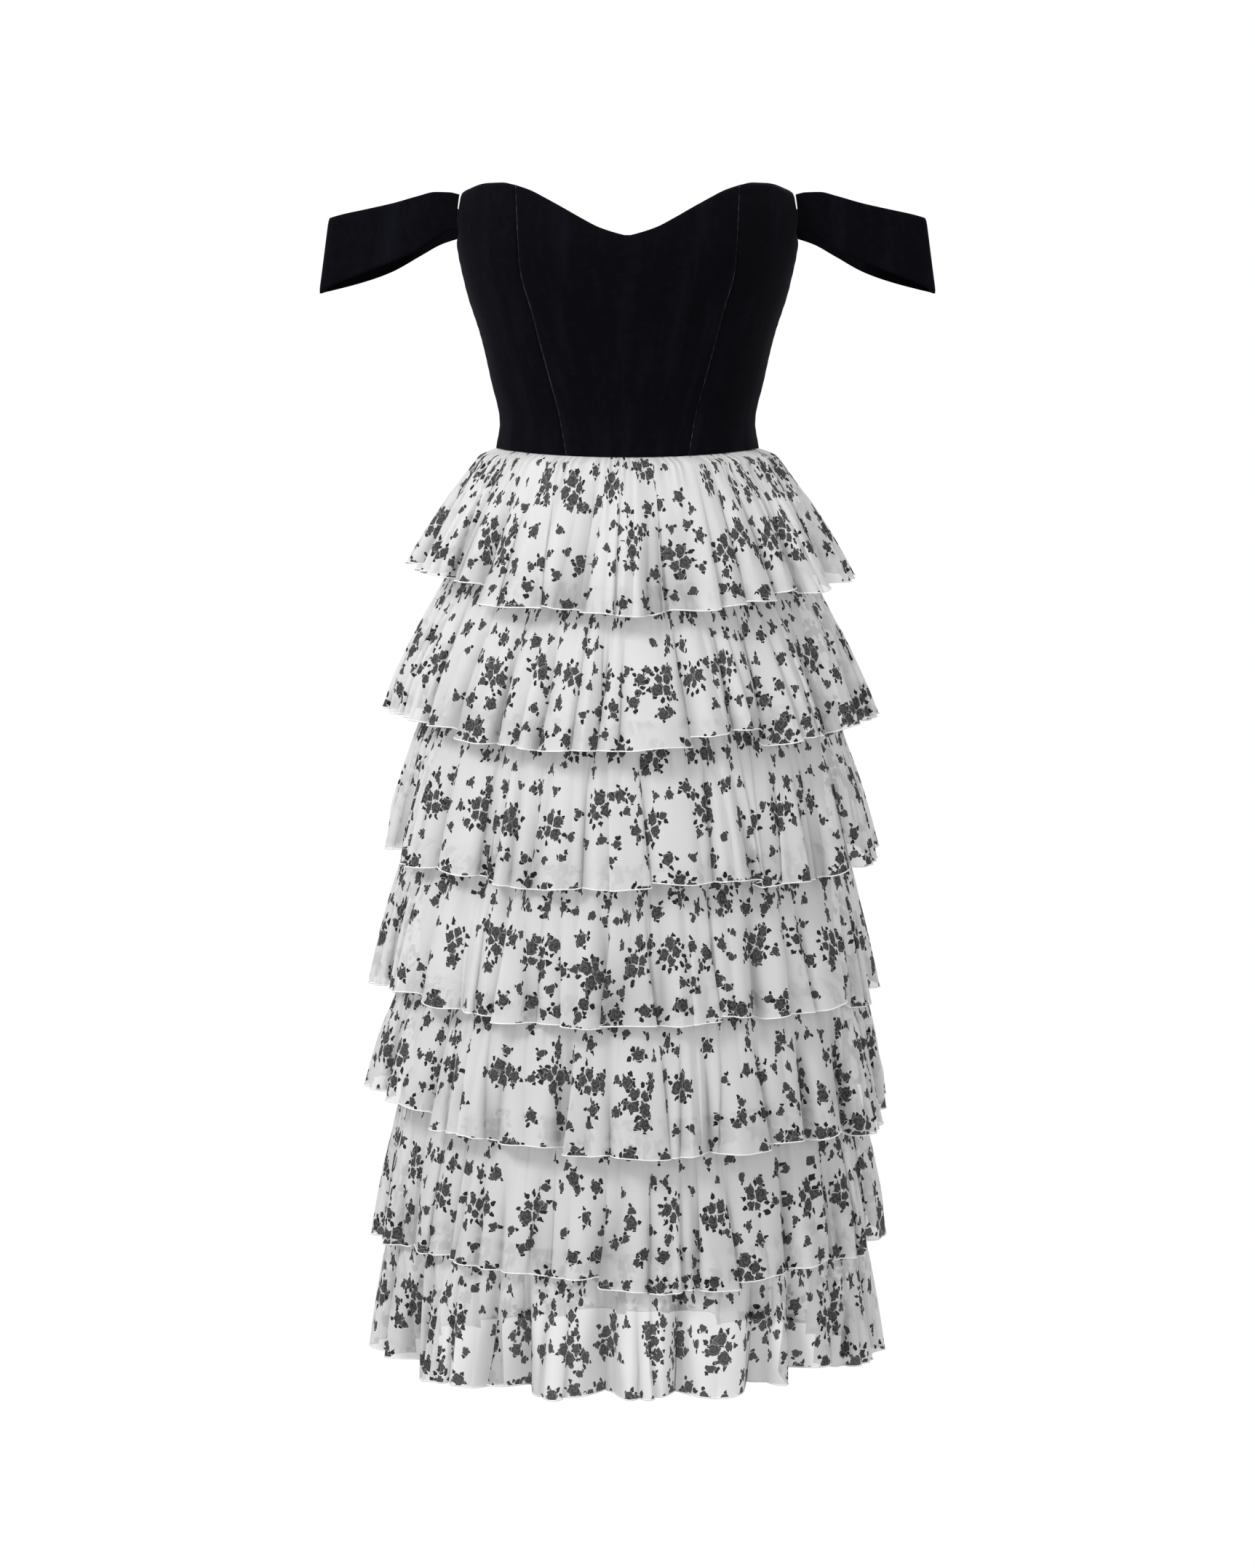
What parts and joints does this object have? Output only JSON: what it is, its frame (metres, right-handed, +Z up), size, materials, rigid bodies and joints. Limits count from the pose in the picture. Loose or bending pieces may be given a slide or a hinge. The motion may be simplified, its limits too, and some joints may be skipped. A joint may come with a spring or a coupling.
{
  "type": "corset dress",
  "caption": "Off-the-shoulder dress: a fitted sweetheart corset bodice in black velvet over a long skirt of gathered flounces in sheer white chiffon with a charcoal rose sprig print.",
  "frame": {"origin": "centre of the waist seam, where the wearer's waist holds the dress; level with the seam at the two sides", "axes": "+Z up along the body, -Y to the front of the dress, +Y to its back with the zip, +X to the wearer's left"},
  "size_m": [0.582, 0.4125, 1.1094],
  "materials": {
    "black_velvet": "short pile velvet, black with a soft sheen at grazing angles",
    "printed_chiffon": "sheer matt chiffon, white with charcoal rose sprigs",
    "white_lining": "plain matt white lining cloth",
    "black_metal": "satin black"
  },
  "bodies": {
    "dress": {"front_centre": "black_velvet", "side_front_left": "black_velvet", "side_front_right": "black_velvet", "side_back_left": "black_velvet", "side_back_right": "black_velvet", "back_left": "black_velvet", "back_right": "black_velvet", "sleeve_left": "black_velvet", "sleeve_right": "black_velvet", "underskirt": "white_lining", "tier_1": "printed_chiffon", "tier_2": "printed_chiffon", "tier_3": "printed_chiffon", "tier_4": "printed_chiffon", "tier_5": "printed_chiffon", "tier_6": "printed_chiffon", "tier_7": "printed_chiffon", "zip_slider": "black_metal"},
    "zip_pull": {"zip_pull": "black_metal"}
  },
  "joints": [
    {"name": "pull_swing", "type": "hinge", "parent": "dress", "child": "zip_pull", "pos_m": [0, 0.10641, 0.17477], "axis": [1, 0, 0], "range_deg": [-4, 155]}
  ]
}
